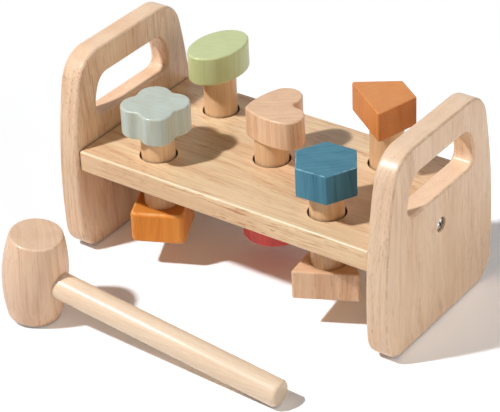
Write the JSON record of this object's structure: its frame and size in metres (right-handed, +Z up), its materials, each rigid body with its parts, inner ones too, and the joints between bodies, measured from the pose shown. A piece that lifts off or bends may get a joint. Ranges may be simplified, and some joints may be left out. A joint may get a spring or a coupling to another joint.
{
  "type": "peg pounding bench",
  "caption": "Wooden pounding bench: a board between two end panels with hand slots, double-headed shaped pegs that slide through its holes, and a barrel-headed mallet.",
  "frame": {"origin": "on the floor, at the centre of the bench's footprint between the two end panels", "axes": "+X along the bench to its right-hand end panel, +Y to the back, away from the mallet, +Z up"},
  "size_m": [0.25, 0.2151, 0.14],
  "materials": {
    "board": "clear satin varnish over pale hardwood",
    "end_panels": "clear satin varnish over pale hardwood",
    "peg_shafts": "smooth bare beech",
    "dowels": "bare beech",
    "beech_heads": "smooth clear-coated beech",
    "sage_stain": "satin sage paint on beech",
    "green_stain": "satin leaf-green paint on beech",
    "blue_stain": "satin blue stain on beech",
    "orange_stain": "satin orange stain on beech",
    "red_stain": "satin red paint on beech",
    "mallet_head": "smooth clear-coated beech",
    "mallet_handle": "smooth clear-coated beech",
    "screws": "nickel-plated steel",
    "grip_rings": "matt rubber"
  },
  "bodies": {
    "bench": {"board": "board", "left_panel": "end_panels", "right_panel": "end_panels", "left_screw": "screws", "right_screw": "screws", "left_front_dowel": "dowels", "left_back_dowel": "dowels", "right_front_dowel": "dowels", "right_back_dowel": "dowels"},
    "flower_grip": {"flower_ring": "grip_rings"},
    "flower_peg": {"flower_shaft": "peg_shafts", "flower_head": "sage_stain", "flower_lower_head": "orange_stain"},
    "oval_grip": {"oval_ring": "grip_rings"},
    "oval_peg": {"oval_shaft": "peg_shafts", "oval_head": "green_stain", "oval_lower_head": "blue_stain"},
    "heart_grip": {"heart_ring": "grip_rings"},
    "heart_peg": {"heart_shaft": "peg_shafts", "heart_head": "beech_heads", "heart_lower_head": "red_stain"},
    "hexagon_grip": {"hexagon_ring": "grip_rings"},
    "hexagon_peg": {"hexagon_shaft": "peg_shafts", "hexagon_head": "blue_stain", "hexagon_lower_head": "beech_heads"},
    "trapezoid_grip": {"trapezoid_ring": "grip_rings"},
    "trapezoid_peg": {"trapezoid_shaft": "peg_shafts", "trapezoid_head": "orange_stain", "trapezoid_lower_head": "green_stain"},
    "mallet": {"mallet_head": "mallet_head", "mallet_handle": "mallet_handle"}
  },
  "joints": [
    {"name": "flower_turn", "type": "hinge", "parent": "bench", "child": "flower_grip", "pos_m": [-0.0646, -0.0339, 0.0698], "axis": [0, 0, 1], "continuous": true},
    {"name": "flower_pound", "type": "slide", "parent": "flower_grip", "child": "flower_peg", "axis": [0, 0, 1], "range_m": [-0.0174, 0.02025]},
    {"name": "oval_turn", "type": "hinge", "parent": "bench", "child": "oval_grip", "pos_m": [-0.0646, 0.0339, 0.0698], "axis": [0, 0, 1], "continuous": true},
    {"name": "oval_pound", "type": "slide", "parent": "oval_grip", "child": "oval_peg", "axis": [0, 0, 1], "range_m": [-0.0284, 0.00925]},
    {"name": "heart_turn", "type": "hinge", "parent": "bench", "child": "heart_grip", "pos_m": [0, 0, 0.0698], "axis": [0, 0, 1], "continuous": true},
    {"name": "heart_pound", "type": "slide", "parent": "heart_grip", "child": "heart_peg", "axis": [0, 0, 1], "range_m": [-0.0179, 0.01975]},
    {"name": "hexagon_turn", "type": "hinge", "parent": "bench", "child": "hexagon_grip", "pos_m": [0.0646, -0.0339, 0.0698], "axis": [0, 0, 1], "continuous": true},
    {"name": "hexagon_pound", "type": "slide", "parent": "hexagon_grip", "child": "hexagon_peg", "axis": [0, 0, 1], "range_m": [-0.0169, 0.02075]},
    {"name": "trapezoid_turn", "type": "hinge", "parent": "bench", "child": "trapezoid_grip", "pos_m": [0.0646, 0.0339, 0.0698], "axis": [0, 0, 1], "continuous": true},
    {"name": "trapezoid_pound", "type": "slide", "parent": "trapezoid_grip", "child": "trapezoid_peg", "axis": [0, 0, 1], "range_m": [-0.02965, 0.008]},
    {"name": "mallet_lift", "type": "slide", "parent": "bench", "child": "mallet", "axis": [0, 0, 1], "range_m": [0, 0.15]}
  ]
}
